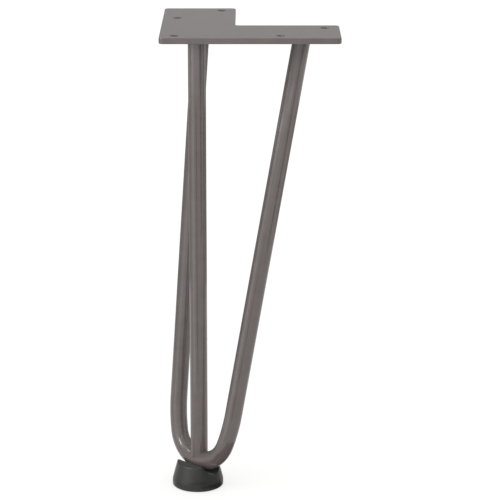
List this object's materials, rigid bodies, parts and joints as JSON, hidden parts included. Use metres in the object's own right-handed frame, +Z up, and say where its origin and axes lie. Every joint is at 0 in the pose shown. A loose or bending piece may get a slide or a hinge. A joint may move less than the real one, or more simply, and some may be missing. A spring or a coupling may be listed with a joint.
{
  "type": "hairpin table leg",
  "caption": "Steel hairpin table leg: L-shaped screw-on corner plate, bent round rod braced by a straight rod, and a moulded floor foot under the bend.",
  "frame": {"origin": "on the plate's upper, mounting face, on the axis of the upright corner rod", "axes": "+Z up out of the mounting face towards the table top; the plate's arms run along +X and +Y; the foot is at the bottom, along -Z"},
  "size_m": [0.12, 0.12, 0.32],
  "materials": {
    "powder_coat": "satin warm grey powder coat on steel",
    "foot_rubber": "matt charcoal moulded rubber"
  },
  "bodies": {
    "root": {"mounting_plate": "powder_coat", "hairpin_rod": "powder_coat", "corner_rod": "powder_coat", "plate_welds": "powder_coat", "bend_weld": "powder_coat", "floor_foot": "foot_rubber"}
  },
  "joints": []
}
